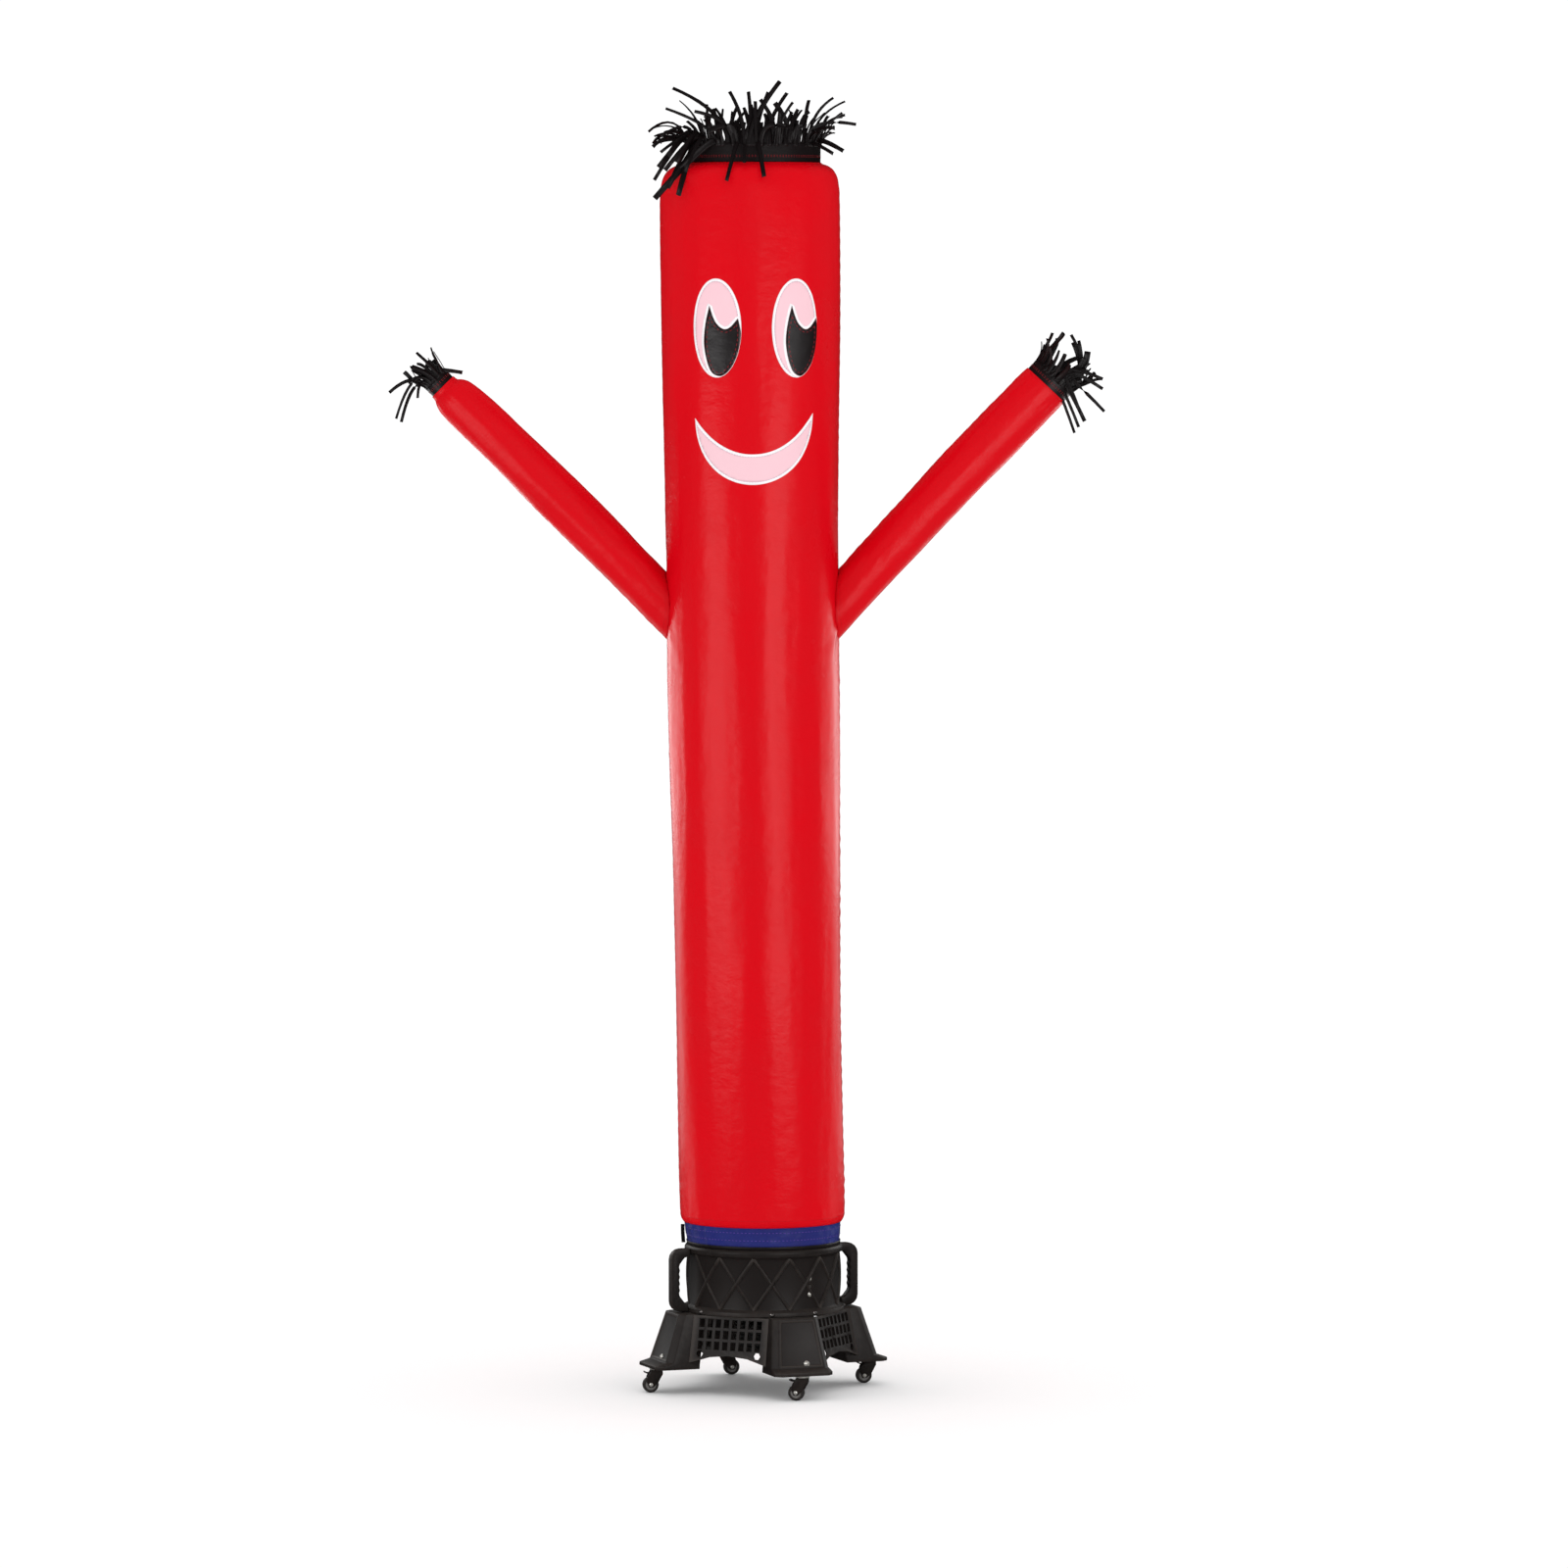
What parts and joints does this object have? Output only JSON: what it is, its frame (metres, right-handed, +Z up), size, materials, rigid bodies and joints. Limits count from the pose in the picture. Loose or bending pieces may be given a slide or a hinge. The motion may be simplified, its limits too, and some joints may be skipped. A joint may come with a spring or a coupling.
{
  "type": "inflatable air dancer on a blower",
  "caption": "Tall blown cloth tube with a smiling face, two raised arms and cut cloth fringes, standing on a round floor blower with handles and braked castors.",
  "frame": {"origin": "on the floor, under the middle of the whole thing's outline", "axes": "+Z up, -Y the way the face looks, +X to the right of someone who faces it"},
  "size_m": [1.9986, 0.6944, 3.6362],
  "materials": {
    "red_nylon": "thin coated woven cloth, soft gloss",
    "black_nylon": "thin woven cloth",
    "white_cloth": "sheer white cloth over red",
    "blue_nylon": "woven cloth, stitched",
    "black_plastic": "fine moulded grain",
    "castor_plastic": "smooth moulded",
    "castor_steel": "zinc plated",
    "black_rubber": "matt",
    "motor_metal": "dark paint"
  },
  "bodies": {
    "root": {"tube": "red_nylon", "arm_left": "red_nylon", "arm_right": "red_nylon", "hair": "black_nylon", "hand_left": "black_nylon", "hand_right": "black_nylon", "tag": "black_nylon", "pupil_left": "black_nylon", "pupil_right": "black_nylon", "eye_left": "white_cloth", "eye_right": "white_cloth", "mouth": "white_cloth", "skirt": "blue_nylon", "drum": "black_plastic", "handle_left": "black_plastic", "handle_right": "black_plastic", "motor_bracket": "black_plastic", "leg_right": "black_plastic", "leg_back": "black_plastic", "leg_left": "black_plastic", "leg_front": "black_plastic", "grille_right_back": "black_plastic", "grille_back_left": "black_plastic", "grille_left_front": "black_plastic", "grille_front_right": "black_plastic", "castor_plate_right": "castor_steel", "castor_plate_back": "castor_steel", "castor_plate_left": "castor_steel", "castor_plate_front": "castor_steel", "motor": "motor_metal"},
    "swivel_right": {"castor_fork_right": "castor_plastic"},
    "wheel_right": {"castor_wheel_right": "black_rubber"},
    "pedal_right": {"castor_pedal_right": "castor_plastic"},
    "swivel_back": {"castor_fork_back": "castor_plastic"},
    "wheel_back": {"castor_wheel_back": "black_rubber"},
    "pedal_back": {"castor_pedal_back": "castor_plastic"},
    "swivel_left": {"castor_fork_left": "castor_plastic"},
    "wheel_left": {"castor_wheel_left": "black_rubber"},
    "pedal_left": {"castor_pedal_left": "castor_plastic"},
    "swivel_front": {"castor_fork_front": "castor_plastic"},
    "wheel_front": {"castor_wheel_front": "black_rubber"},
    "pedal_front": {"castor_pedal_front": "castor_plastic"}
  },
  "joints": [
    {"name": "castor_swivel_right", "type": "hinge", "parent": "root", "child": "swivel_right", "pos_m": [0.35548, 0.10842, 0.07], "axis": [0, 0, 1], "continuous": true},
    {"name": "wheel_roll_right", "type": "hinge", "parent": "swivel_right", "child": "wheel_right", "pos_m": [0.33885, 0.10489, 0.0225], "axis": [-0.2079, 0.9781, 0], "continuous": true},
    {"name": "brake_pedal_right", "type": "hinge", "parent": "swivel_right", "child": "pedal_right", "pos_m": [0.36331, 0.11008, 0.0545], "axis": [0.2079, -0.9781, 0], "range_deg": [0, 12]},
    {"name": "castor_swivel_back", "type": "hinge", "parent": "root", "child": "swivel_back", "pos_m": [-0.05082, 0.29788, 0.07], "axis": [0, 0, 1], "continuous": true},
    {"name": "wheel_roll_back", "type": "hinge", "parent": "swivel_back", "child": "wheel_back", "pos_m": [-0.03419, 0.30142, 0.0225], "axis": [0.2079, -0.9781, 0], "continuous": true},
    {"name": "brake_pedal_back", "type": "hinge", "parent": "swivel_back", "child": "pedal_back", "pos_m": [-0.05865, 0.29622, 0.0545], "axis": [-0.2079, 0.9781, 0], "range_deg": [0, 12]},
    {"name": "castor_swivel_left", "type": "hinge", "parent": "root", "child": "swivel_left", "pos_m": [-0.24028, -0.10842, 0.07], "axis": [0, 0, 1], "continuous": true},
    {"name": "wheel_roll_left", "type": "hinge", "parent": "swivel_left", "child": "wheel_left", "pos_m": [-0.25712, -0.11079, 0.0225], "axis": [-0.1392, 0.9903, 0], "continuous": true},
    {"name": "brake_pedal_left", "type": "hinge", "parent": "swivel_left", "child": "pedal_left", "pos_m": [-0.23236, -0.10731, 0.0545], "axis": [0.1392, -0.9903, 0], "range_deg": [0, 12]},
    {"name": "castor_swivel_front", "type": "hinge", "parent": "root", "child": "swivel_front", "pos_m": [0.16602, -0.29788, 0.07], "axis": [0, 0, 1], "continuous": true},
    {"name": "wheel_roll_front", "type": "hinge", "parent": "swivel_front", "child": "wheel_front", "pos_m": [0.14939, -0.29435, 0.0225], "axis": [0.2079, 0.9781, 0], "continuous": true},
    {"name": "brake_pedal_front", "type": "hinge", "parent": "swivel_front", "child": "pedal_front", "pos_m": [0.17385, -0.29955, 0.0545], "axis": [-0.2079, -0.9781, 0], "range_deg": [0, 12]}
  ]
}
